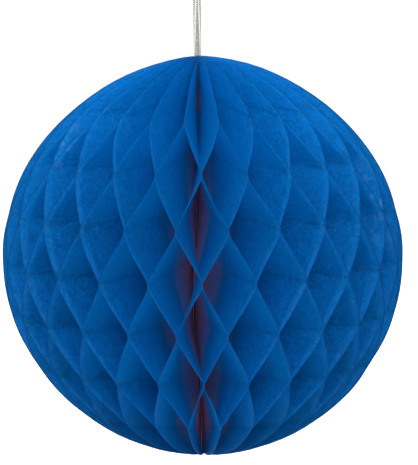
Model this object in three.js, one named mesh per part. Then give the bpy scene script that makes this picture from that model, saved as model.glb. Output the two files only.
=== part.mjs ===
// A honeycomb paper ball, 200 mm across, hanging on a doubled string.
// Half-disc sheets of tissue are bound along their straight edge to a slim spine on the Z axis.
// Each sheet is glued to one neighbour and then to the other, row after row, so that the fan of
// sheets, opened all the way round, stands as a ball of diamond cells.
// Millimetres, +Z up, origin at the middle of the ball. Azimuth 0 points along -Y.
import * as THREE from "three";
import { mergeVertices } from "three/addons/utils/BufferGeometryUtils.js";

// The ball
const BALL_RADIUS = 100; // at the equator
const UPPER_DRAW_IN = 2.6; // how far the hanging weight draws the upper shoulder in
const LOWER_DRAW_IN = 0.9; // the same for the lower shoulder

// The tissue sheets
const SHEET_COUNT = 48; // even, so that the last sheet meets the first
const SHEET_THICKNESS = 0.25;
const GLUE_GAP = 0.2; // between the facing sides of two sheets at a glue line
const FAN_EASE = 0.56; // from the tightest ring that all the inner edges fit round to where they are
const POLE_WIDTH = 3; // of what is left of a sheet at each pole

// The glue rows, which climb from the rim to the spine because the open cells draw in the rim
const RIM_ROW_SPACING = 25.5;
const SPINE_ROW_SPACING = 28;
const RIM_MIDDLE_ROW = -2.6; // height of the middle row at the rim
const SPINE_MIDDLE_ROW = -1.3; // and at the spine
const GLUE_LINE_WIDTH = 3;
const LEAST_GORE = 8; // free height that the last glue row leaves below each pole
const GORE_STEPS = 5; // straight pieces of the rim from the last glue row to the pole
const FACETS_ACROSS = 2; // from spine to rim

// The spine
const SPINE_CLEARANCE = 0.3; // to the sheets' inner edges
const SPINE_CHAMFER = 0.6;
const SPINE_SIDES = 24;

// The string
const STRING_DIAMETER = 1.9;
const STRAND_GAP = 0.2; // between the two strands where they hang side by side
const STRING_CLEARANCE = 0.3; // between the string's ends and the top of the spine
const STRING_SIDES = 8;
const STRING_STEPS = 60;
// Half of its route: how far the strand has left its twin's side, and height above its lower end
const STRING_ROUTE = [
  [0, 0],
  [0, 7],
  [0, 14],
  [0, 21],
  [0, 26.5],
  [0.3, 30.5],
  [1.1, 34.3],
  [2.25, 38],
  [3.35, 41.5],
  [4.1, 45],
  [4.3, 48.2],
  [3.55, 51.1],
  [1.7, 53.1],
];
const STRING_TOP = 53.9; // height of the loop's middle line above the lower ends

const TISSUE = new THREE.MeshStandardMaterial({ color: 0x0058a6, roughness: 0.85, metalness: 0 });
const BINDING = new THREE.MeshStandardMaterial({ color: 0x2c1b30, roughness: 0.9, metalness: 0 });
const STRING = new THREE.MeshStandardMaterial({ color: 0xdedcd5, roughness: 0.7, metalness: 0 });

const QUARTER_TURN = Math.PI / 2;
const BACK_OF_BOX = 3; // a BoxGeometry's group of faces on its -Y side
const sheetPitch = (2 * Math.PI) / SHEET_COUNT;
const innerRadius = (SHEET_THICKNESS + GLUE_GAP) / sheetPitch + FAN_EASE;
const spineRadius = innerRadius - SPINE_CLEARANCE;
const poleHeight = Math.sqrt(BALL_RADIUS ** 2 - innerRadius ** 2);
const strandAside = (STRING_DIAMETER + STRAND_GAP) / 2;

// The rim's point at a latitude: a circle whose shoulders are drawn in, most at 55 degrees
function rimAtLatitude(latitude) {
  const drawIn = latitude > 0 ? UPPER_DRAW_IN : LOWER_DRAW_IN;
  const share = 2.6 * Math.sin(latitude) ** 2 * Math.cos(latitude);
  const reach = BALL_RADIUS - drawIn * share;
  return { radius: reach * Math.cos(latitude), height: reach * Math.sin(latitude) };
}

function latitudeAtHeight(height) {
  let latitude = Math.asin(height / BALL_RADIUS);
  for (let pass = 0; pass < 6; pass += 1) {
    latitude += (height - rimAtLatitude(latitude).height) / (BALL_RADIUS * Math.cos(latitude));
  }
  return latitude;
}

// How many glue rows fit between the middle row and a pole, which is 1 above and -1 below
function rowsTowards(pole) {
  const room = poleHeight - LEAST_GORE;
  const atSpine = (room - pole * SPINE_MIDDLE_ROW) / SPINE_ROW_SPACING;
  const atRim = (room - pole * RIM_MIDDLE_ROW) / RIM_ROW_SPACING;
  return Math.floor(Math.min(atSpine, atRim));
}

// Stations run up the sheet. Each says where the rim and the spine edge are, and to which
// neighbour an even sheet leans there: -1 towards the one before it, +1 towards the next.
function glueRowStations(row) {
  const lean = row % 2 === 0 ? -1 : 1;
  return [-0.5, 0.5].map((share) => {
    const rimHeight = RIM_MIDDLE_ROW + row * RIM_ROW_SPACING + share * GLUE_LINE_WIDTH;
    const spineHeight = SPINE_MIDDLE_ROW + row * SPINE_ROW_SPACING + share * GLUE_LINE_WIDTH;
    return { rim: rimAtLatitude(latitudeAtHeight(rimHeight)), spineHeight, lean };
  });
}

// Past the last glue row the two glued sheets stay together up to the pole
function goreStations(last, pole) {
  const start = latitudeAtHeight(last.rim.height);
  const end = pole * Math.acos((innerRadius + POLE_WIDTH) / BALL_RADIUS);
  const stations = [];
  for (let step = 1; step <= GORE_STEPS; step += 1) {
    const share = step / GORE_STEPS;
    const rim = rimAtLatitude(THREE.MathUtils.lerp(start, end, share));
    const spineHeight = THREE.MathUtils.lerp(last.spineHeight, pole * poleHeight, share);
    stations.push({ rim, spineHeight, lean: last.lean });
  }
  return stations;
}

function sheetStations() {
  const glued = [];
  for (let row = -rowsTowards(-1); row <= rowsTowards(1); row += 1) {
    glued.push(...glueRowStations(row));
  }
  const below = goreStations(glued[0], -1).reverse();
  const above = goreStations(glued.at(-1), 1);
  return [...below, ...glued, ...above];
}

// Both sides of a sheet fold along the same diagonals, or they would pass through each other.
// Each square of a box's side is the six corners a, b, d, b, c, d.
function turnDiagonals(box, side) {
  const { start, count } = box.groups[side];
  for (let i = start; i < start + count; i += 6) {
    const [a, b, d, , c] = box.index.array.slice(i, i + 6);
    box.index.array.set([a, b, c, a, c, d], i);
  }
}

// A flat box, cut into one slice between each two stations, is bent into the sheet.
// Its X runs from the spine to the rim, its Y through the tissue and its Z up the stations.
function sheetGeometry(mirror) {
  const stations = sheetStations();
  const slices = stations.length - 1;
  const box = new THREE.BoxGeometry(1, 1, slices, FACETS_ACROSS, 1, slices);
  turnDiagonals(box, BACK_OF_BOX);
  const position = box.getAttribute("position");
  const aside = (SHEET_THICKNESS + GLUE_GAP) / 2;
  const axis = new THREE.Vector3(0, 0, 1);
  const point = new THREE.Vector3();
  for (let i = 0; i < position.count; i += 1) {
    const station = stations[Math.round(position.getZ(i) + slices / 2)];
    const lean = station.lean * mirror;
    const share = position.getX(i) + 0.5;
    point.x = THREE.MathUtils.lerp(innerRadius, station.rim.radius, share);
    point.y = position.getY(i) * SHEET_THICKNESS - lean * aside;
    point.z = THREE.MathUtils.lerp(station.spineHeight, station.rim.height, share);
    point.applyAxisAngle(axis, (lean * sheetPitch) / 2);
    position.setXYZ(i, point.x, point.y, point.z);
  }
  box.deleteAttribute("normal");
  box.deleteAttribute("uv");
  const sheet = mergeVertices(box);
  sheet.computeVertexNormals();
  return sheet;
}

function tissueSheets() {
  const group = new THREE.Group();
  const evenSheet = sheetGeometry(1);
  const oddSheet = sheetGeometry(-1);
  for (let i = 0; i < SHEET_COUNT; i += 1) {
    const sheet = new THREE.Mesh(i % 2 === 0 ? evenSheet : oddSheet, TISSUE);
    sheet.name = `tissue_sheet_${String(i + 1).padStart(2, "0")}`;
    sheet.rotation.z = (i + 0.5) * sheetPitch - QUARTER_TURN;
    group.add(sheet);
  }
  return group;
}

// The bound edges of the stack, rolled into a slim core when the ball is opened
function spineBinding() {
  const profile = [
    [0, -poleHeight],
    [spineRadius - SPINE_CHAMFER, -poleHeight],
    [spineRadius, -poleHeight + SPINE_CHAMFER],
    [spineRadius, poleHeight - SPINE_CHAMFER],
    [spineRadius - SPINE_CHAMFER, poleHeight],
    [0, poleHeight],
  ].map(([radius, height]) => new THREE.Vector2(radius, height));
  const spine = new THREE.Mesh(new THREE.LatheGeometry(profile, SPINE_SIDES), BINDING);
  spine.name = "spine_binding";
  spine.rotation.x = QUARTER_TURN;
  return spine;
}

// Both ends of the string are fixed in the spine, and its bight is the loop that it hangs by
function hangingString() {
  const side = (hand) =>
    STRING_ROUTE.map(([away, height]) => new THREE.Vector3(hand * (strandAside + away), 0, height));
  const top = new THREE.Vector3(0, 0, STRING_TOP);
  const route = new THREE.CatmullRomCurve3([...side(1), top, ...side(-1).reverse()]);
  const round = new THREE.Shape();
  round.absarc(0, 0, STRING_DIAMETER / 2, 0, 2 * Math.PI);
  const section = new THREE.Shape(round.getSpacedPoints(STRING_SIDES).slice(0, STRING_SIDES));
  const tube = new THREE.ExtrudeGeometry(section, { steps: STRING_STEPS, extrudePath: route });
  const string = new THREE.Mesh(tube, STRING);
  string.name = "hanging_string";
  string.position.z = poleHeight + STRING_CLEARANCE;
  return string;
}

const ball = new THREE.Group();
ball.name = "honeycomb_paper_ball";
ball.add(tissueSheets());
ball.add(spineBinding());
ball.add(hangingString());

export default ball;
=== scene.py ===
"""A blue honeycomb ball of tissue paper that hangs on a doubled string."""

import math

import bpy
from mathutils import Euler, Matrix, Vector


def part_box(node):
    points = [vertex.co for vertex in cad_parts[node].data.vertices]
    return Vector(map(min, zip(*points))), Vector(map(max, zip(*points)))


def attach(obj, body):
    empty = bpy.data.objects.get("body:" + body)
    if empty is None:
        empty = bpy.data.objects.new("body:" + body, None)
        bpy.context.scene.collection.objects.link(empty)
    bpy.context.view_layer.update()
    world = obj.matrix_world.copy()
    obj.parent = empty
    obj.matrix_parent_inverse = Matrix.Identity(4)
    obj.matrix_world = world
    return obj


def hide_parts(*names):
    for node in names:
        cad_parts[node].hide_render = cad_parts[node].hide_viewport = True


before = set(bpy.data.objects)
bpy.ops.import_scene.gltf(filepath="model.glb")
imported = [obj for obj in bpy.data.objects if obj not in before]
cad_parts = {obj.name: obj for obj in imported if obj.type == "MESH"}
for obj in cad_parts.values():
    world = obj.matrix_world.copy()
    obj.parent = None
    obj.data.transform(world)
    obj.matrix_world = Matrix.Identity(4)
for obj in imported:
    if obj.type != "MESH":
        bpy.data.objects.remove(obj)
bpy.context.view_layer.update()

bl_info = {
    "name": "Honeycomb Paper Ball",
    "version": (1, 0, 0),
    "blender": (4, 5, 0),
    "location": "View3D > Sidebar > Paper Ball",
    "description": "Fans tissue leaves out into a honeycomb ball and hangs it on a string",
    "category": "Add Mesh",
}

MM = 0.001
BALL_RADIUS = 100 * MM
LEAF_NODES = sorted(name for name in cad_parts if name.startswith("tissue_sheet"))
LEAF_PITCH = 2 * math.pi / len(LEAF_NODES)
SPINE_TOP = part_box("spine_binding")[1].z
STRING_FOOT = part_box("hanging_string")[0].z

# Glue rows on each side of the middle one
ROWS_EACH_WAY = 3
# How finely a leaf is divided: on a glue strip, between two strips, past the last one, and outwards
STEPS_ON_STRIP = 2
STEPS_BETWEEN = 10
STEPS_IN_GORE = 9
STEPS_OUTWARDS = 18
STEPS_PER_ROW = STEPS_ON_STRIP + STEPS_BETWEEN
GLUED_STEPS = 2 * ROWS_EACH_WAY * STEPS_PER_ROW + STEPS_ON_STRIP
LEAF_STEPS = GLUED_STEPS + 2 * STEPS_IN_GORE
# Added before rounding down, so that a whole number stays itself
NUDGE = 0.0001

# The shoulders' draw-in follows sine squared times cosine of the latitude, and this makes its peak 1
DRAW_IN_SCALE = 2.6
LATITUDE_PASSES = 4
# At a pole the rim ends this many core radii from the axis, and the spine edge at this share of the radius
POLE_REACH = 1.15
SPINE_EDGE_END = 0.9985

# A free stretch of leaf has big and small buckles, and the glued rims sway and lift together. These
# are waves to the metre, then how much the small buckles count beside the big ones
BIG_BUCKLES = 45
SMALL_BUCKLES = 160
SWAYS = 22
LIFTS = 26
SMALL_BUCKLE_SHARE = 0.35
# Takes the lifts' noise from another place than the sways'
LIFT_APART = (3, 5, 7)

# The spine bows most this far below the middle, and is straight again this far above and below that
BOW_DROP = 32 * MM
BOW_ABOVE = 95 * MM
BOW_BELOW = 28 * MM
# How finely it is divided, up and round, and the rounding of its ends as a share of its radius
SPINE_STEPS = 60
SPINE_SIDES = 32
SPINE_ROUNDING = 0.35

# Half of the string's route in mm: how far a strand has left its twin's side, and height
STRING_ROUTE = [
    (0, 0),
    (0, 7),
    (0, 14),
    (0, 21),
    (0, 26.5),
    (0.3, 30.5),
    (1.1, 34.3),
    (2.25, 38),
    (3.35, 41.5),
    (4.1, 45),
    (4.3, 48.2),
    (3.55, 51.1),
    (1.7, 53.1),
]
# Also in mm: the loop's height, from the middle to a strand's side, and how far both ends reach down
# into the spine
STRING_TOP = 53.9
STRAND_ASIDE = 1.05
STRING_SUNK = 1.2
# The pair of strands hangs turned by this much, so that from the front they close up
STRING_TURN = math.radians(25)

# Yarns that wind each way round a strand, how finely they follow it, and how round they are
YARNS_EACH_WAY = 4
YARN_STEP = 0.18 * MM
YARN_SIDES = 5
CORE_SIDES = 12
# Sizes in a strand, as shares of its radius: a yarn's middle line, its weave in and out, its own
# radius, and the core's
YARN_RING = 0.7
YARN_WEAVE = 0.08
YARN_RADIUS = 0.22
YARN_CORE = 0.84
# How far out the painted shade of a strand's furrows ends and its crowns begin, as shares of its radius
FURROW_TO_CROWN = (0.78, 0.96)
# How pale the crowns are, how much single hairs vary that, and how much painted shade lies beside the band
CROWN_PALENESS = 0.9
HAIR_CONTRAST = 0.4
BESIDE_BAND_SHADE = 0.9
# The painted light band on a strand, in strand radii towards the other strand: its middle at the foot
# and higher up, and how far from its middle it starts to fade and is gone
BAND_INWARDS = (-0.8, 0.3)
BAND_HALF = (0.12, 0.55)
# The height at which the band has come over, and the heights between which it gives way to even light
BAND_TURNS = 26 * MM
BAND_ENDS = (28 * MM, 36 * MM)

# Noise in the tissue, the spine and the string, in features to the metre
CLOUDS = 30
FOLDS = 120
BLOTCHES = 140
STREAKS = 190
CREASES = 240
FIBRES = 900
BOUND_LAYERS = 400
HAIRS = 3500
# How much the painted shade lessens for each metre up, and how much of it the rim gets at the bottom
SHADE_FALL = 1.5
LOW_RIM_SHADE = 0.36
# How much further in the painted shade reaches in places: in clouds, and in the slots in front of
# the spine at the bottom and the top. The slots' heights and half their length follow
CLOUD_SHADE = 0.2
LOW_SLOT_SHADE = 0.22
TOP_SLOT_SHADE = 0.14
LOW_SLOT = -80 * MM
TOP_SLOT = 82 * MM
SLOT_HALF = 18 * MM
# How much less painted shade lies between the leaves closing in front of the spine, and in the upper half
CLOSED_LESS_SHADE = 0.4
UPPER_LESS_SHADE = 0.06
# Heights between which the leaves of the top cell close in front of the spine, and part again
TOP_CELL_CLOSES = (50 * MM, 60 * MM)
TOP_CELL_PARTS = (68 * MM, 76 * MM)
# How strongly fibres, blotches and glue vary the dye, how much painted light lightens it towards the
# top and painted shade darkens it towards the bottom, and how much lighter it is at the sides
FIBRE_CONTRAST = 1.8
BLOTCH_CONTRAST = 0.55
GLUE_DARKENS = 0.15
TOP_LIGHTENS = 0.5
BOTTOM_DARKENS = 0.06
SIDES_LIGHTEN = 0.12
# Where the cut edge begins on the way from spine to rim, and how much painted shade darkens it
# everywhere, and how much more at the top and the sides
EDGE_BEGINS = (0.992, 0.997)
EDGE_SHADE = 0.45
EDGE_SHADE_MORE = 0.3
# Relief of the leaf beside its creases: fibres, finer folds and glue
FIBRE_RELIEF = 0.25
FOLD_RELIEF = 0.35
GLUE_RELIEF = 0.15
# The share of light that goes through a leaf, the dye that it takes on, and what passes on to the next
THROUGH_SHARE = 0.56
THROUGH_COLOUR = (0.0, 0.15, 0.4, 1)
PASSED_COLOUR = (0.96, 0.965, 0.97, 1)
# Patches of painted sheen: the turn round the ball in radians and half their width, height and half of that
LEFT_SHEEN_PATCH = (-1.06, 0.12, 64 * MM, 26 * MM)
RIGHT_SHEEN_PATCH = (1.22, 0.16, 32 * MM, 38 * MM)
# The right one's strength beside the left one's, and how much painted sheen the rim has in them and
# everywhere
RIGHT_SHEEN_SHARE = 0.6
SHEEN_IN_PATCH = 0.5
SHEEN_EVERYWHERE = 0.03

# The picture is 465 pixels high, half a millimetre each at the ball, whose middle lies off its centre
PICTURE_PIXELS = 465
PIXEL = 0.5 * MM
BALL_RIGHT_OF_CENTRE = -9.3
BALL_ABOVE_CENTRE = -22.7
# The camera's sensor in mm, and how near and how far it sees in metres
SENSOR = 36
SIGHT = (0.1, 100)

# Half the floor's width, the clouds in its paint to the metre and their shade, and its glow where the
# camera sees it
FLOOR_HALF = 30
FLOOR_CLOUDS = 3
FLOOR_SHADE = (0.66, 0.66, 0.66, 1)
FLOOR_GLOW = 0.75
# The strength of the soft light from all round
SOFT_LIGHT = 0.3
WHITE = (1, 1, 1, 1)
# Each lamp's name, place, size and power, in metres and watts
LAMPS = [
    ("Left Lamp", (-1.5, -1.6, 0.8), 1.0, 36),
    ("Right Lamp", (1.5, -1.6, 0.8), 1.0, 32),
    ("Front Lamp", (0.0, -2.2, 0.4), 0.8, 22),
    ("Top Lamp", (-0.1, -0.9, 2.1), 1.4, 16),
    ("Rear Lamp", (-0.5, 2.4, 0.9), 2.0, 22),
]


class Field:
    """A node's output that varies over a piece, with the signs of arithmetic."""

    def __init__(self, tree, socket):
        self.tree = tree
        self.socket = socket

    def maths(self, operation, *others):
        return maths(self.tree, operation, self, *others)

    def __add__(self, other):
        return self.maths("ADD", other)

    __radd__ = __add__

    def __sub__(self, other):
        return self.maths("SUBTRACT", other)

    def __rsub__(self, other):
        return maths(self.tree, "SUBTRACT", other, self)

    def __mul__(self, other):
        return self.maths("MULTIPLY", other)

    __rmul__ = __mul__

    def __truediv__(self, other):
        return self.maths("DIVIDE", other)

    def __rtruediv__(self, other):
        return maths(self.tree, "DIVIDE", other, self)

    def __pow__(self, other):
        return self.maths("POWER", other)

    def __mod__(self, other):
        return self.maths("FLOORED_MODULO", other)

    def __neg__(self):
        return self * -1

    def __abs__(self):
        return self.maths("ABSOLUTE")

    def sin(self):
        return self.maths("SINE")

    def cos(self):
        return self.maths("COSINE")

    def root(self):
        return self.maths("SQRT")

    def floor(self):
        return self.maths("FLOOR")

    def clamp(self, low, high):
        return self.maths("MAXIMUM", low).maths("MINIMUM", high)

    def above(self, limit):
        """1 where it is greater than the limit, otherwise 0."""
        return self.maths("GREATER_THAN", limit)

    def rise(self, low, high):
        """Goes smoothly from 0 at low to 1 at high, which may be the smaller of the two."""
        share = ((self - low) / (high - low)).clamp(0, 1)
        return share * share * (3 - 2 * share)


def new_node(tree, kind, settings=None, inputs=None):
    """Adds a node, sets it up, then gives its sockets their values or links."""
    node = tree.nodes.new(kind)
    for name, value in (settings or {}).items():
        if name == "stops":
            set_stops(node.color_ramp, value)
        else:
            setattr(node, name, value)
    for key, value in (inputs or {}).items():
        if isinstance(value, Field):
            tree.links.new(value.socket, node.inputs[key])
        else:
            node.inputs[key].default_value = value
    return node


def set_stops(ramp, stops):
    while len(ramp.elements) < len(stops):
        ramp.elements.new(1)
    for element, (place, colour) in zip(ramp.elements, stops):
        element.position = place
        element.color = opaque(colour)


def add(tree, kind, settings=None, inputs=None, output=0):
    """A new node's output, as a Field."""
    return Field(tree, new_node(tree, kind, settings, inputs).outputs[output])


def maths(tree, operation, *values):
    return add(tree, "ShaderNodeMath", {"operation": operation}, dict(enumerate(values)))


def mix(low, high, share):
    return low + (high - low) * share


def near(value, middle, half):
    """1 at a middle value and 0 from half away from it."""
    return 1 - abs(value - middle).rise(0, half)


def vector(tree, x, y, z):
    return add(tree, "ShaderNodeCombineXYZ", None, {"X": x, "Y": y, "Z": z})


def alike(tree, value):
    """A vector whose three parts are the same value."""
    return vector(tree, value, value, value)


def parts_of(tree, place):
    node = new_node(tree, "ShaderNodeSeparateXYZ", None, {"Vector": place})
    return [Field(tree, node.outputs[axis]) for axis in ("X", "Y", "Z")]


def vector_maths(tree, operation, *values, output=0):
    return add(tree, "ShaderNodeVectorMath", {"operation": operation}, dict(enumerate(values)), output)


def stretched(tree, place, *shares):
    """A place with each of its parts multiplied, so that a pattern on it comes out longer or shorter."""
    return vector_maths(tree, "MULTIPLY", place, shares)


def colour_mix(tree, share, one, other):
    settings = {"data_type": "RGBA", "clamp_factor": True}
    return add(tree, "ShaderNodeMix", settings, {0: share, 6: one, 7: other}, output=2)


def colour_ramp(tree, share, stops):
    return add(tree, "ShaderNodeValToRGB", {"stops": stops}, {"Fac": share})


def noise(tree, place, scale, detail=2.0, roughness=0.5):
    """Noise between 0 and 1, even round 0.5."""
    inputs = {"Vector": place, "Scale": scale, "Detail": detail, "Roughness": roughness}
    return add(tree, "ShaderNodeTexNoise", None, inputs)


def bumps(tree, height, strength, distance):
    inputs = {"Strength": strength, "Distance": distance, "Height": height}
    return add(tree, "ShaderNodeBump", None, inputs)


def linear(code):
    """A colour as it is written for a screen, such as 0058a6, as the linear numbers of a socket."""
    shares = [int(code[i : i + 2], 16) / 255 for i in (0, 2, 4)]
    return tuple(c / 12.92 if c <= 0.04045 else ((c + 0.055) / 1.055) ** 2.4 for c in shares)


def opaque(dye):
    """A colour with the fourth number that a socket takes."""
    return (*dye, 1)


def length(name, description, default):
    return bpy.props.FloatProperty(
        name=name, description=description, default=default, unit="LENGTH", precision=5
    )


def angle(name, description, degrees):
    return bpy.props.FloatProperty(
        name=name, description=description, default=math.radians(degrees), subtype="ANGLE"
    )


def number(name, description, default):
    return bpy.props.FloatProperty(name=name, description=description, default=default)


def colour(name, description, code):
    return bpy.props.FloatVectorProperty(
        name=name, description=description, default=linear(code), subtype="COLOR", size=3, min=0, max=1
    )


class BallSizes(bpy.types.PropertyGroup):
    """The sizes of the ball and of its tissue leaves"""

    radius: length("Radius", "From the middle of the ball to its equator", BALL_RADIUS)
    upper_draw_in: length("Upper Draw-in", "How far the upper shoulder is drawn in", 2.6 * MM)
    lower_draw_in: length("Lower Draw-in", "How far the lower shoulder is drawn in", 0.4 * MM)
    lopsided: length("Lower Lopsidedness", "How much fuller the lower shoulder is on the right", 0.6 * MM)
    shift: length("Rim Shift", "How far all the rims hang to the right of the spine", 1.5 * MM)
    bow: length("Spine Bow", "How far the spine bows to the left below the middle", 3.4 * MM)
    thickness: length("Leaf Thickness", "Thickness of one leaf", 0.14 * MM)
    glue_gap: length("Glue Gap", "Between the facing sides of two glued leaves", 0.02 * MM)
    core: length("Core Radius", "From the axis to the leaves' bound edges", 1.9 * MM)
    rim_row_spacing: length("Row Spacing at Rim", "Between two glue rows at the rim", 25.5 * MM)
    spine_row_spacing: length("Row Spacing at Spine", "Between two glue rows at the spine", 28 * MM)
    rim_middle_row: length("Middle Row at Rim", "Height of the middle glue row at the rim", -2.6 * MM)
    spine_middle_row: length("Middle Row at Spine", "Height of it at the spine", -1.3 * MM)
    strip_width: length("Glue Strip Width", "Width of a glue strip", 3 * MM)
    roundness: number("Roundness", "How softly a leaf bends away from a glue strip", 0.06)
    sway: length("Sway", "How far the glued rims stray together from an even fan", 0.6 * MM)
    crinkle: length("Crinkle", "How far a free stretch of leaf buckles", 0.7 * MM)


class TissueColours(bpy.types.PropertyGroup):
    """The tissue's colours from the rim to the spine, with painted shade, and those of its bound edges"""

    # The cut edge's colour is painted shade, which dims the light that the edge catches
    cut: colour("Cut Edge", "The cut edge of a leaf", "004080")
    # Painted sheen: the pale streaks near the rim
    coated: colour("Worn", "Streaks where the rim is scuffed", "58ace4")
    # Painted shade from the rim in, and beside the spine the painted red of light passed through many leaves
    rim: colour("Rim", "Tissue at the rim", "0064a2")
    middle: colour("Middle", "Tissue part of the way in", "005496")
    inner: colour("Inner", "Tissue in the shade of the cells", "0a437c")
    deep: colour("Deep", "Tissue where the dye shows its red", "704e82")
    deepest: colour("Deepest", "Tissue beside the spine", "c26e6c")
    # The spine's colours are painted shade: maroon, darker at the top, dark blue where the top cell closes
    bound: colour("Bound Edges", "The edges pressed together in the spine", "8c505e")
    bound_dark: colour("Bound Edges Dark", "Between the pressed edges", "5a3440")
    bound_top_shade: colour("Bound Edges Top", "The top of the spine", "381c30")
    bound_closed_shade: colour("Bound Edges Closed", "The spine where the top cell closes", "063c80")


class StringLook(bpy.types.PropertyGroup):
    """The string that the ball hangs on"""

    diameter: length("Diameter", "Thickness of one strand", 2 * MM)
    braid_pitch: length("Braid Pitch", "Length of one turn of a yarn", 4.4 * MM)
    # Painted light and shade: the pale band, and the grey of the shaded sides and furrows
    pale: colour("Pale", "The string's light band", "eeece6")
    grey: colour("Grey", "The string's shaded sides and furrows", "827f7c")


class StageLook(bpy.types.PropertyGroup):
    """The floor and the camera"""

    floor_drop: length("Floor Drop", "From the middle of the ball down to the floor", 300 * MM)
    elevation: angle("Camera Elevation", "How far the camera looks down", 6.8)
    roll: angle("Camera Roll", "How far the picture leans", 0.6)
    distance: length("Camera Distance", "From the camera to the ball", 2000 * MM)
    pale: colour("Floor Colour", "The floor", "dcdcdc")


def tree_with_inputs(name, inputs):
    """A Geometry Nodes tree with an output socket, and its named inputs, each as a Field."""
    tree = bpy.data.node_groups.new(name, "GeometryNodeTree")
    tree.interface.new_socket("Geometry", in_out="OUTPUT", socket_type="NodeSocketGeometry")
    for label, kind in inputs:
        tree.interface.new_socket(label, in_out="INPUT", socket_type=kind)
    entry = tree.nodes.new("NodeGroupInput")
    return tree, {label: Field(tree, entry.outputs[label]) for label, _ in inputs}


def stored(tree, geometry, name, kind, value):
    """Keeps a value on each point of a piece under a name."""
    settings = {"data_type": kind, "domain": "POINT"}
    inputs = {"Geometry": geometry, "Name": name, "Value": value}
    return add(tree, "GeometryNodeStoreNamedAttribute", settings, inputs)


def end_tree(tree, geometry, material):
    """Ends a tree in real geometry that wears its material."""
    real = add(tree, "GeometryNodeRealizeInstances", None, {0: geometry})
    coated = add(tree, "GeometryNodeSetMaterial", None, {"Geometry": real, "Material": material})
    tree.links.new(coated.socket, tree.nodes.new("NodeGroupOutput").inputs[0])


def grow(name, tree, values, start=None):
    """Runs a tree on an empty mesh or on a start object, and gives the result as a plain mesh."""
    source = start or bpy.data.objects.new(name, bpy.data.meshes.new(name))
    bpy.context.scene.collection.objects.link(source)
    modifier = source.modifiers.new("Grow", "NODES")
    modifier.node_group = tree
    for item in tree.interface.items_tree:
        if item.in_out == "INPUT" and item.name in values:
            modifier[item.identifier] = values[item.name]
    seen = source.evaluated_get(bpy.context.evaluated_depsgraph_get())
    mesh = bpy.data.meshes.new_from_object(seen)
    bpy.data.objects.remove(source)
    return place_mesh(name, mesh)


def place_mesh(name, mesh):
    piece = bpy.data.objects.new(name, mesh)
    bpy.context.scene.collection.objects.link(piece)
    return piece


def claim(piece, node):
    """Lets a piece ride with the ball and stand in for a CAD node, which it hides."""
    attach(piece, "root")
    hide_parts(node)


def rim_radius_and_height(latitude, radius, upper, lower):
    """The rim at a latitude: a circle whose shoulders are drawn in, most at 55 degrees."""
    draw_in = mix(lower, upper, latitude.above(0))
    reach = radius - draw_in * DRAW_IN_SCALE * latitude.sin() ** 2 * latitude.cos()
    return reach * latitude.cos(), reach * latitude.sin()


def latitude_at_height(height, radius, upper, lower):
    """The latitude at which the rim is at a height, found by a few passes."""
    latitude = (height / radius).clamp(-1, 1).maths("ARCSINE")
    for _ in range(LATITUDE_PASSES):
        there = rim_radius_and_height(latitude, radius, upper, lower)[1]
        latitude = latitude + (height - there) / (radius * latitude.cos())
    return latitude


SHARED_LEAF_INPUTS = [
    "Radius",
    "Upper Draw-in",
    "Lower Draw-in",
    "Lower Lopsidedness",
    "Rim Shift",
    "Spine Bow",
    "Leaf Thickness",
    "Glue Gap",
    "Core Radius",
    "Row Spacing at Rim",
    "Row Spacing at Spine",
    "Middle Row at Rim",
    "Middle Row at Spine",
    "Glue Strip Width",
    "Roundness",
    "Sway",
    "Crinkle",
]
OWN_LEAF_INPUTS = ["Leaf Angle", "Leaf Hand", "Leaf Seed"]


def flat_leaf(tree):
    """A box a metre each way, divided as finely as a leaf, with smooth sides and hard edges."""
    vertices = {"Vertices X": STEPS_OUTWARDS + 1, "Vertices Y": 2, "Vertices Z": LEAF_STEPS + 1}
    box = add(tree, "GeometryNodeMeshCube", None, vertices)
    facing = parts_of(tree, add(tree, "GeometryNodeInputNormal"))[1]
    on_side = abs(facing).above(0.5)
    return add(tree, "GeometryNodeSetShadeSmooth", None, {0: box, "Shade Smooth": on_side})


def rows_at(step, half_strip):
    """The row coordinate at a step: 0 in the middle of the middle strip, and 1 more at each strip above."""
    on_rows = step.clamp(0, GLUED_STEPS)
    row = (on_rows / STEPS_PER_ROW + NUDGE).floor()
    past = on_rows - row * STEPS_PER_ROW
    on_strip = past.clamp(0, STEPS_ON_STRIP) / STEPS_ON_STRIP * 2 * half_strip - half_strip
    between = (past - STEPS_ON_STRIP).clamp(0, STEPS_BETWEEN) / STEPS_BETWEEN * (1 - 2 * half_strip)
    return row - ROWS_EACH_WAY + on_strip + between


def leaf_edges(size, rows, side, in_gore):
    """The rim's reach and height, and the spine edge's height, at a place on the rows or past them."""
    lower = size["Lower Draw-in"] - size["Lower Lopsidedness"] * size["Leaf Angle"].sin()
    profile = (size["Radius"], size["Upper Draw-in"], lower)
    on_rim = size["Middle Row at Rim"] + size["Row Spacing at Rim"] * rows
    pole = (size["Core Radius"] / size["Radius"] * POLE_REACH).maths("ARCCOSINE") * side
    latitude = mix(latitude_at_height(on_rim, *profile), pole, in_gore)
    rim_reach, rim_height = rim_radius_and_height(latitude, *profile)
    on_spine = size["Middle Row at Spine"] + size["Row Spacing at Spine"] * rows
    spine_height = mix(on_spine, side * size["Radius"] * SPINE_EDGE_END, in_gore)
    return rim_reach, rim_height, spine_height


def bowed_field(most, height):
    """How far the spine has bowed to the left at a height."""
    above = height + BOW_DROP
    return most * (1 - above.rise(0, BOW_ABOVE)) * (1 - above.rise(0, -BOW_BELOW))


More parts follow.
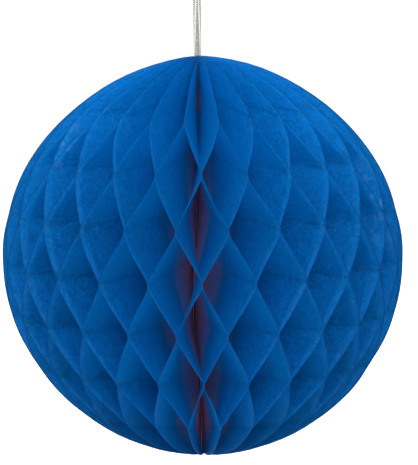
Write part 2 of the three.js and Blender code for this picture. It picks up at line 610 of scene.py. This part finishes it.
def leaf_tree():
    """The rule of one leaf. A flat box is bent into it: X runs outwards, Y through it and Z up it."""
    inputs = [(name, "NodeSocketFloat") for name in SHARED_LEAF_INPUTS + OWN_LEAF_INPUTS]
    tree, size = tree_with_inputs("Tissue Leaf", [*inputs, ("Tissue", "NodeSocketMaterial")])
    box = flat_leaf(tree)
    along, through, up = parts_of(tree, add(tree, "GeometryNodeInputPosition"))
    outwards = along + 0.5
    step = ((up + 0.5) * LEAF_STEPS).maths("ROUND") - STEPS_IN_GORE
    half_strip = size["Glue Strip Width"] / size["Row Spacing at Rim"] / 2
    rows = rows_at(step, half_strip)
    # Past the last glue row, in_gore goes from 0 to 1 at the pole, which is the upper one on side 1
    side = step.above(GLUED_STEPS / 2) * 2 - 1
    in_gore = (side * (step - GLUED_STEPS / 2) - GLUED_STEPS / 2).clamp(0, STEPS_IN_GORE) / STEPS_IN_GORE

    # Which neighbour the leaf leans to, from -1 to 1
    swing = 1 - 2 * abs(rows.clamp(-ROWS_EACH_WAY, ROWS_EACH_WAY) % 2 - 1)
    straight = (swing / (1 - 2 * half_strip)).clamp(-1, 1)
    eased = straight * (1.5 - 0.5 * straight * straight)
    lean = mix(straight, eased, size["Roundness"]) * size["Leaf Hand"]

    rim_reach, rim_height, spine_height = leaf_edges(size, rows, side, in_gore)
    reach = mix(size["Core Radius"], rim_reach, outwards)
    height = mix(spine_height, rim_height, outwards)

    # Free stretches buckle, each leaf in its own way
    free = 1 - abs(straight) ** 6
    own = vector(tree, reach, size["Leaf Seed"], height)
    big = noise(tree, own, BIG_BUCKLES, 1) - 0.5
    small = noise(tree, own, SMALL_BUCKLES, 2) - 0.5
    buckle = (big + small * SMALL_BUCKLE_SHARE) * free * outwards * size["Crinkle"] * 2

    # Glued leaves stray together
    turn = size["Leaf Angle"] + lean * (LEAF_PITCH / 2)
    there = vector(tree, reach * turn.sin(), -(reach * turn.cos()), height)
    stray = (noise(tree, there, SWAYS, 1) - 0.5) * size["Sway"] * 4 * outwards
    apart = vector_maths(tree, "ADD", there, LIFT_APART)
    lift = (noise(tree, apart, LIFTS, 1) - 0.5) * size["Sway"] * 2 * outwards

    aside = through * size["Leaf Thickness"] - lean * (size["Leaf Thickness"] + size["Glue Gap"]) / 2
    tangent = aside + buckle + stray
    x = reach * turn.sin() + tangent * turn.cos() + size["Rim Shift"] * outwards
    x = x - bowed_field(size["Spine Bow"], height) * (1 - outwards)
    y = tangent * turn.sin() - reach * turn.cos()
    # The place on the flat leaf is kept for the tissue's pattern before the leaf is bent
    flat_place = vector(tree, outwards, rows, side * in_gore)
    flat = stored(tree, box, "leaf_place", "FLOAT_VECTOR", flat_place)
    to = vector(tree, x, y, height + lift)
    bent = add(tree, "GeometryNodeSetPosition", None, {"Geometry": flat, "Position": to})
    end_tree(tree, bent, size["Tissue"])
    return tree


def new_material(name):
    material = bpy.data.materials.new(name)
    material.use_nodes = True
    tree = material.node_tree
    tree.nodes.clear()
    return material, tree


def finish_material(tree, shader):
    tree.links.new(shader.socket, tree.nodes.new("ShaderNodeOutputMaterial").inputs["Surface"])


def object_place(tree):
    return add(tree, "ShaderNodeTexCoord", output="Object")


def principled(tree, **inputs):
    named = {name.replace("_", " "): value for name, value in inputs.items()}
    return add(tree, "ShaderNodeBsdfPrincipled", None, named)


def closed_up(z):
    """1 at the heights where the leaves of the top cell meet in front of the spine."""
    return z.rise(*TOP_CELL_CLOSES) * (1 - z.rise(*TOP_CELL_PARTS))


def painted_shade_depth(tree, place, z, reach, outwards):
    """Painted shade by how deep in the ball a point lies: near 0 at the rim and 1 at the spine."""
    rim = (BALL_RADIUS**2 - z * z).clamp(0, 1).root()
    # Towards the bottom the rim gets painted shade too, as if it lay further in
    low = (-z).rise(30 * MM, 80 * MM)
    rim = mix(rim, BALL_RADIUS, low * LOW_RIM_SHADE)
    # More painted shade in the slots before the spine, less between the closing leaves and in the upper half
    low_slot = (1 - outwards.rise(0.2, 0.75)) * near(z, LOW_SLOT, SLOT_HALF) * LOW_SLOT_SHADE
    top_slot = (1 - outwards.rise(0.15, 0.4)) * near(z, TOP_SLOT, SLOT_HALF) * TOP_SLOT_SHADE
    slot_shade = low_slot + top_slot
    closed = (1 - reach.rise(2 * MM, 18 * MM)) * closed_up(z) * CLOSED_LESS_SHADE
    less_shade = closed + z.rise(-10 * MM, 45 * MM) * UPPER_LESS_SHADE
    cloud = (noise(tree, place, CLOUDS, 2) - 0.5) * CLOUD_SHADE
    return (rim - reach) / BALL_RADIUS * (1 - z * SHADE_FALL) + cloud + slot_shade - less_shade


def fibre_noise(tree, x, y, z, reach):
    """Two sets of fibres that cross slantwise on every leaf, even round 0.5."""
    one = vector(tree, reach + z, (reach - z) * 0.3, x)
    other = vector(tree, (reach + z) * 0.3, reach - z, y)
    return noise(tree, one, FIBRES, 3, 0.75) + noise(tree, other, FIBRES, 3, 0.75) - 0.5


def glue_lines(rows, in_gore, blotches):
    """The glue rows, where they show through as thin uneven lines."""
    wander = (blotches - 0.5) * 0.02
    off_row = abs(rows - rows.maths("ROUND") + wander)
    line = 1 - off_row.rise(0.012, 0.055)
    on_rows = 1 - abs(in_gore).above(0.01)
    return line * on_rows * (0.4 + blotches)


def patch(turn, z, middle, half_width, height, half_height):
    """1 in the middle of a patch of the ball's skin, and 0 outside it."""
    return near(turn, middle, half_width) * near(z, height, half_height)


def painted_sheen(tree, place, x, y, z, outwards, edge):
    """Painted sheen: pale streaks near the rim, most of them in the sheen patches."""
    streaks = noise(tree, stretched(tree, place, 1, 1, 0.3), STREAKS, 3, 0.65).rise(0.45, 0.65)
    turn = x.maths("ARCTAN2", -y)
    sheened = patch(turn, z, *LEFT_SHEEN_PATCH) + patch(turn, z, *RIGHT_SHEEN_PATCH) * RIGHT_SHEEN_SHARE
    near_rim = outwards.rise(0.86, 0.97)
    return streaks * near_rim * (1 - edge) * (sheened * SHEEN_IN_PATCH + SHEEN_EVERYWHERE)


def tissue(colours):
    """Thin tissue: bright at the rim, painted shade inwards, painted red where light has passed many leaves.
    """
    material, tree = new_material("Blue Tissue")
    place = object_place(tree)
    x, y, z = parts_of(tree, place)
    attribute = add(tree, "ShaderNodeAttribute", {"attribute_name": "leaf_place"}, output="Vector")
    outwards, rows, in_gore = parts_of(tree, attribute)
    reach = (x * x + y * y).root()
    # Painted shade: the dye darkens from the rim inwards and turns red beside the spine
    stops = [
        (0.16, colours.rim),
        (0.34, colours.middle),
        (0.48, colours.inner),
        (0.68, colours.deep),
        (0.92, colours.deepest),
    ]
    shaded_dye = colour_ramp(tree, painted_shade_depth(tree, place, z, reach, outwards), stops)

    # Fibres, blotches and glue vary the dye, with painted light above, painted shade below, lighter sides
    fibres = fibre_noise(tree, x, y, z, reach)
    blotches = noise(tree, place, BLOTCHES, 3, 0.6)
    glued = glue_lines(rows, in_gore, blotches)
    painted_light_by_height = z.rise(10 * MM, 90 * MM) * TOP_LIGHTENS - (-z).rise(10 * MM, 90 * MM) * BOTTOM_DARKENS
    aside = abs(x).rise(66 * MM, 98 * MM) * SIDES_LIGHTEN
    mottled = 1 + (fibres - 0.5) * FIBRE_CONTRAST + (blotches - 0.5) * BLOTCH_CONTRAST
    dyed_and_shaded = vector_maths(tree, "MULTIPLY", shaded_dye, alike(tree, mottled - glued * GLUE_DARKENS + painted_light_by_height + aside))

    # Pale streaks of painted sheen with a glossy coat lie near the rim, and painted shade darkens the cut
    # edge
    edge = outwards.rise(*EDGE_BEGINS)
    coated = painted_sheen(tree, place, x, y, z, outwards, edge)
    base = colour_mix(tree, coated, dyed_and_shaded, opaque(colours.coated))
    # Painted shade on the cut edge, more at the top and the sides
    top_and_sides = z.rise(0, 60 * MM).maths("MAXIMUM", abs(x).rise(30 * MM, 75 * MM))
    base = colour_mix(tree, edge * (EDGE_SHADE + top_and_sides * EDGE_SHADE_MORE), base, opaque(colours.cut))

    # Creases are a little longer upwards, and thin folds run from the spine to the rim
    crease = noise(tree, stretched(tree, place, 1, 1, 0.6), CREASES, 3, 0.55)
    fold = noise(tree, vector(tree, reach * 0.5, x * 0.2 + y * 0.3, z), FOLDS, 2, 0.5)
    folded = near(fold, 0.5, 0.03)
    height = crease + fibres * FIBRE_RELIEF + folded * FOLD_RELIEF - glued * GLUE_RELIEF
    front = principled(
        tree,
        Base_Color=base,
        Roughness=0.62,
        Specular_IOR_Level=0.07,
        Coat_Weight=coated,
        Coat_Roughness=0.38,
        Normal=bumps(tree, height, 0.6, 0.7 * MM),
    )
    back = add(tree, "ShaderNodeBsdfTranslucent", None, {"Color": THROUGH_COLOUR})
    paper = add(tree, "ShaderNodeMixShader", None, {0: THROUGH_SHARE, 1: front, 2: back})

    # A lamp's light goes on through a leaf, taking on a little colour, and reaches the next ones
    clear = add(tree, "ShaderNodeBsdfTransparent", None, {"Color": PASSED_COLOUR})
    from_lamp = add(tree, "ShaderNodeLightPath", output="Is Shadow Ray")
    finish_material(tree, add(tree, "ShaderNodeMixShader", None, {0: from_lamp, 1: paper, 2: clear}))
    return material


def binding(colours):
    """Pressed, glued leaf edges in painted shade: maroon, darker at the top, blue where the top cell closes.
    """
    material, tree = new_material("Bound Edges")
    place = object_place(tree)
    layers = noise(tree, stretched(tree, place, 8, 8, 0.4), BOUND_LAYERS, 3, 0.6)
    shade = colour_ramp(tree, layers, [(0.3, colours.bound), (0.7, colours.bound_dark)])
    z = parts_of(tree, place)[2]
    # Painted shade: darker at the top, and the dark blue of shaded tissue where the top cell closes
    shade = colour_mix(tree, z.rise(62 * MM, 78 * MM), shade, opaque(colours.bound_top_shade))
    shade = colour_mix(tree, closed_up(z), shade, opaque(colours.bound_closed_shade))
    relief = bumps(tree, layers, 0.5, 0.3 * MM)
    finish_material(tree, principled(tree, Base_Color=shade, Roughness=0.8, Normal=relief))
    return material


def yarn(look):
    """Pale yarn with painted shade in furrows and flanks, and a painted light band turning out towards the
    ball.
    """
    material, tree = new_material("Pale Yarn")
    place = object_place(tree)
    x, _, z = parts_of(tree, place)
    hairs = noise(tree, stretched(tree, place, 1, 1, 0.25), HAIRS, 2)
    crown = add(tree, "ShaderNodeAttribute", {"attribute_name": "yarn_crown"}, output="Fac")
    # Painted light and shade: a light band on each strand, grey flanks beside it, grey furrows
    inwards = (STRAND_ASIDE * math.cos(STRING_TURN) * MM - abs(x)) / (look.diameter / 2)
    height = z - STRING_FOOT
    band = mix(*BAND_INWARDS, (height / BAND_TURNS).clamp(0, 1))
    shaded = abs(inwards - band).rise(*BAND_HALF) * (1 - height.rise(*BAND_ENDS))
    hairy = CROWN_PALENESS + (hairs - 0.5) * HAIR_CONTRAST
    share = crown.rise(*FURROW_TO_CROWN) * hairy * (1 - shaded * BESIDE_BAND_SHADE)
    shade = colour_mix(tree, share, opaque(look.grey), opaque(look.pale))
    relief = bumps(tree, hairs, 0.4, 0.1 * MM)
    finish_material(tree, principled(tree, Base_Color=shade, Roughness=0.55, Normal=relief))
    return material


def string_route():
    """The string's middle line, from one lower end over the loop to the other, in metres."""
    right = [(STRAND_ASIDE, -STRING_SUNK)]
    right += [(STRAND_ASIDE + away, height) for away, height in STRING_ROUTE]
    left = [(-across, height) for across, height in reversed(right)]
    points = [*right, (0, STRING_TOP), *left]
    turned = Vector((math.cos(STRING_TURN), math.sin(STRING_TURN), 0)) * MM
    return [turned * across + Vector((0, 0, STRING_FOOT + height * MM)) for across, height in points]


def on_curve(a, b, c, d, t):
    """The point at a share t of the way from b to c, on the smooth curve that also passes a and d."""
    start = 2 * b + (c - a) * t
    return 0.5 * (start + (2 * a - 5 * b + 4 * c - d) * t**2 + (3 * b - a - 3 * c + d) * t**3)


def smooth_route(points, steps=8):
    """Points close together on the smooth curve through the given ones."""
    ends = [points[0] * 2 - points[1], *points, points[-1] * 2 - points[-2]]
    stretches = range(len(points) - 1)
    dense = [on_curve(*ends[i : i + 4], step / steps) for i in stretches for step in range(steps)]
    return [*dense, points[-1]]


def tube_along(tree, line, radius, sides):
    profile = add(tree, "GeometryNodeCurvePrimitiveCircle", None, {"Resolution": sides, "Radius": radius})
    inputs = {"Curve": line, "Profile Curve": profile, "Fill Caps": True}
    return add(tree, "GeometryNodeCurveToMesh", None, inputs)


def yarn_lines(tree, line, size, radius):
    """The yarns' middle lines, wound both ways round a line, and passing over and under each other."""
    copies = new_node(
        tree,
        "GeometryNodeDuplicateElements",
        {"domain": "SPLINE"},
        {"Geometry": line, "Amount": 2 * YARNS_EACH_WAY},
    )
    lines, index = (Field(tree, copies.outputs[name]) for name in ("Geometry", "Duplicate Index"))
    hand = index % 2 * 2 - 1
    travelled = add(tree, "GeometryNodeSplineParameter", output="Length")
    wound = travelled / size["Braid Pitch"] * (2 * math.pi)
    turn = hand * wound + (index / 2).floor() * (2 * math.pi / YARNS_EACH_WAY)
    reach = (YARN_RING + (wound * YARNS_EACH_WAY).cos() * hand * YARN_WEAVE) * radius
    normal = add(tree, "GeometryNodeInputNormal")
    side = vector_maths(tree, "CROSS_PRODUCT", add(tree, "GeometryNodeInputTangent"), normal)
    offset = vector_maths(
        tree,
        "ADD",
        vector_maths(tree, "MULTIPLY", normal, alike(tree, reach * turn.cos())),
        vector_maths(tree, "MULTIPLY", side, alike(tree, reach * turn.sin())),
    )
    return add(tree, "GeometryNodeSetPosition", None, {"Geometry": lines, "Offset": offset})


def braid_tree():
    """Yarns braided round a core along the string's middle line, which keep how far out each point is."""
    inputs = [
        ("Route", "NodeSocketGeometry"),
        ("Diameter", "NodeSocketFloat"),
        ("Braid Pitch", "NodeSocketFloat"),
        ("Yarn", "NodeSocketMaterial"),
    ]
    tree, size = tree_with_inputs("Braided String", inputs)
    radius = size["Diameter"] / 2
    even = {"Curve": size["Route"], "Length": YARN_STEP}
    line = add(tree, "GeometryNodeResampleCurve", {"mode": "LENGTH"}, even)
    line = stored(tree, line, "strand_axis", "FLOAT_VECTOR", add(tree, "GeometryNodeInputPosition"))
    wound = yarn_lines(tree, line, size, radius)
    joined = tree.nodes.new("GeometryNodeJoinGeometry")
    for part in (
        tube_along(tree, wound, YARN_RADIUS * radius, YARN_SIDES),
        tube_along(tree, line, YARN_CORE * radius, CORE_SIDES),
    ):
        tree.links.new(part.socket, joined.inputs[0])
    kind = {"data_type": "FLOAT_VECTOR"}
    axis = add(tree, "GeometryNodeInputNamedAttribute", kind, {"Name": "strand_axis"})
    far = vector_maths(tree, "DISTANCE", add(tree, "GeometryNodeInputPosition"), axis, output="Value")
    braid = stored(tree, Field(tree, joined.outputs[0]), "yarn_crown", "FLOAT", far / radius)
    end_tree(tree, braid, size["Yarn"])
    return tree


def route_curve(route):
    curve = bpy.data.curves.new("string_route", "CURVE")
    curve.dimensions = "3D"
    spline = curve.splines.new("POLY")
    spline.points.add(len(route) - 1)
    for point, place in zip(spline.points, route):
        point.co = (*place, 1)
    return bpy.data.objects.new("string_route", curve)


def bowed(most, height):
    """How far the spine has bowed to the left at a height, as bowed_field says it for the leaves."""
    above = height + BOW_DROP
    share = min(above / BOW_ABOVE if above > 0 else -above / BOW_BELOW, 1)
    return most * (1 - share * share * (3 - 2 * share))


def spine_mesh(core, bow):
    """A slim upright rod with rounded ends, bowed to the left."""
    rounding = core * SPINE_ROUNDING
    straight = SPINE_TOP - rounding
    profile = [(core - rounding, -SPINE_TOP)]
    profile += [(core, straight * (i / SPINE_STEPS * 2 - 1)) for i in range(SPINE_STEPS + 1)]
    profile += [(core - rounding, SPINE_TOP)]
    turns = [2 * math.pi * i / SPINE_SIDES for i in range(SPINE_SIDES)]
    points = [
        (radius * math.cos(turn) - bowed(bow, height), radius * math.sin(turn), height)
        for radius, height in profile
        for turn in turns
    ]
    rings = [range(i, i + SPINE_SIDES) for i in range(0, len(points), SPINE_SIDES)]
    faces = [
        (low[i - 1], low[i], high[i], high[i - 1])
        for low, high in zip(rings, rings[1:])
        for i in range(SPINE_SIDES)
    ]
    mesh = bpy.data.meshes.new("bound_spine")
    mesh.from_pydata(points, [], [*faces, tuple(reversed(rings[0])), tuple(rings[-1])])
    return mesh


class PAPERBALL_OT_leaves(bpy.types.Operator):
    """Fans out the tissue leaves"""

    bl_idname = "paper_ball.leaves"
    bl_label = "Fan Out Leaves"

    def execute(self, context):
        sizes = context.scene.ball_sizes
        paper = tissue(context.scene.tissue_colours)
        tree = leaf_tree()
        properties = {p.name: p.identifier for p in sizes.bl_rna.properties}
        shared = {label: getattr(sizes, properties[label]) for label in SHARED_LEAF_INPUTS}
        for i, node in enumerate(LEAF_NODES):
            own = {
                "Leaf Angle": (i + 0.5) * LEAF_PITCH,
                "Leaf Hand": 1.0 if i % 2 == 0 else -1.0,
                "Leaf Seed": i * 0.37,
                "Tissue": paper,
            }
            claim(grow(f"leaf_{i + 1:02d}", tree, {**shared, **own}), node)
        return {"FINISHED"}


class PAPERBALL_OT_spine(bpy.types.Operator):
    """Binds the leaves' straight edges"""

    bl_idname = "paper_ball.spine"
    bl_label = "Bind Spine"

    def execute(self, context):
        sizes = context.scene.ball_sizes
        mesh = spine_mesh(sizes.core, sizes.bow)
        mesh.materials.append(binding(context.scene.tissue_colours))
        claim(place_mesh("bound_spine", mesh), "spine_binding")
        return {"FINISHED"}


class PAPERBALL_OT_string(bpy.types.Operator):
    """Braids the doubled string"""

    bl_idname = "paper_ball.string"
    bl_label = "Braid String"

    def execute(self, context):
        look = context.scene.string_look
        route = smooth_route(string_route())
        values = {"Diameter": look.diameter, "Braid Pitch": look.braid_pitch, "Yarn": yarn(look)}
        cord = grow("hanging_cord", braid_tree(), values, route_curve(route))
        claim(cord, "hanging_string")
        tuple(route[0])
        sum((b - a).length for a, b in zip(route, route[1:]))
        return {"FINISHED"}


class PAPERBALL_OT_stage(bpy.types.Operator):
    """Sets up the camera, the lamps and the floor"""

    bl_idname = "paper_ball.stage"
    bl_label = "Set Stage"

    def execute(self, context):
        scene = context.scene
        place_camera(scene, scene.stage_look)
        lay_floor(scene.stage_look)
        light_world(scene)
        for lamp in LAMPS:
            hang_lamp(scene, *lamp)
        scene.view_settings.view_transform = "Standard"
        return {"FINISHED"}


def place_camera(scene, look):
    lens = bpy.data.cameras.new("Camera")
    lens.sensor_width = SENSOR
    lens.lens = SENSOR * look.distance / (PICTURE_PIXELS * PIXEL)
    lens.clip_start, lens.clip_end = SIGHT
    camera = bpy.data.objects.new("Camera", lens)
    scene.collection.objects.link(camera)
    turn = Euler((math.pi / 2 - look.elevation, 0, 0)).to_matrix()
    turn = turn @ Euler((0, 0, -look.roll)).to_matrix()
    right, up, back = turn.transposed()
    aim = -BALL_RIGHT_OF_CENTRE * PIXEL * right - BALL_ABOVE_CENTRE * PIXEL * up
    camera.matrix_world = turn.to_4x4()
    camera.location = aim + back * look.distance
    scene.camera = camera


def camera_rays(tree):
    """1 for what the camera sees straight, in a mirror or through glass, otherwise 0."""
    node = tree.nodes.new("ShaderNodeLightPath")
    seen = [Field(tree, node.outputs[f"Is {kind} Ray"]) for kind in ("Camera", "Glossy", "Transmission")]
    return (seen[0] + seen[1] + seen[2]).clamp(0, 1)


def floor_paint(look):
    """Matt pale paint, a little cloudy, that glows where the camera sees it."""
    material, tree = new_material("Pale Floor")
    cloud = noise(tree, object_place(tree), FLOOR_CLOUDS, 2)
    paint = colour_mix(tree, cloud, opaque(look.pale), FLOOR_SHADE)
    surface = principled(tree, Base_Color=paint, Roughness=0.9)
    strength = camera_rays(tree) * FLOOR_GLOW
    glow = add(tree, "ShaderNodeEmission", None, {"Color": WHITE, "Strength": strength})
    finish_material(tree, add(tree, "ShaderNodeAddShader", None, {0: surface, 1: glow}))
    return material


def lay_floor(look):
    corners = [
        (x * FLOOR_HALF, y * FLOOR_HALF, -look.floor_drop) for x, y in ((-1, -1), (1, -1), (1, 1), (-1, 1))
    ]
    mesh = bpy.data.meshes.new("floor")
    mesh.from_pydata(corners, [], [(0, 1, 2, 3)])
    mesh.materials.append(floor_paint(look))
    place_mesh("floor", mesh)


def light_world(scene):
    """White all round where the camera sees it, and soft light from it on the ball."""
    world = bpy.data.worlds.new("Studio")
    world.use_nodes = True
    scene.world = world
    tree = world.node_tree
    tree.nodes.clear()
    soft = add(tree, "ShaderNodeBackground", None, {"Color": WHITE, "Strength": SOFT_LIGHT})
    white = add(tree, "ShaderNodeBackground", None, {"Color": WHITE, "Strength": 1})
    both = add(tree, "ShaderNodeMixShader", None, {0: camera_rays(tree), 1: soft, 2: white})
    tree.links.new(both.socket, tree.nodes.new("ShaderNodeOutputWorld").inputs["Surface"])


def hang_lamp(scene, name, place, size, power):
    """A round soft lamp that points at the ball."""
    lamp = bpy.data.lights.new(name, "AREA")
    lamp.shape = "DISK"
    lamp.size = size
    lamp.energy = power
    holder = bpy.data.objects.new(name, lamp)
    scene.collection.objects.link(holder)
    holder.location = place
    holder.rotation_euler = Vector(place).to_track_quat("Z", "Y").to_euler()


class PAPERBALL_PT_panel(bpy.types.Panel):
    """Lists the steps that make the ball"""

    bl_label = "Paper Ball"
    bl_space_type = "VIEW_3D"
    bl_region_type = "UI"
    bl_category = "Paper Ball"

    def draw(self, context):
        for group in GROUPS:
            settings = getattr(context.scene, group)
            box = self.layout.box()
            for name in settings.__annotations__:
                box.prop(settings, name)
        for operator in OPERATORS:
            self.layout.operator(operator.bl_idname)


GROUPS = {
    "ball_sizes": BallSizes,
    "tissue_colours": TissueColours,
    "string_look": StringLook,
    "stage_look": StageLook,
}
OPERATORS = [PAPERBALL_OT_stage, PAPERBALL_OT_string, PAPERBALL_OT_leaves, PAPERBALL_OT_spine]
CLASSES = [*GROUPS.values(), *OPERATORS, PAPERBALL_PT_panel]


def register():
    for cls in CLASSES:
        bpy.utils.register_class(cls)
    for name, group in GROUPS.items():
        setattr(bpy.types.Scene, name, bpy.props.PointerProperty(type=group))


def unregister():
    for name in GROUPS:
        delattr(bpy.types.Scene, name)
    for cls in reversed(CLASSES):
        bpy.utils.unregister_class(cls)


def main():
    register()
    bpy.ops.paper_ball.stage()
    bpy.ops.paper_ball.string()
    bpy.ops.paper_ball.leaves()
    bpy.ops.paper_ball.spine()


if __name__ == "__main__":
    main()
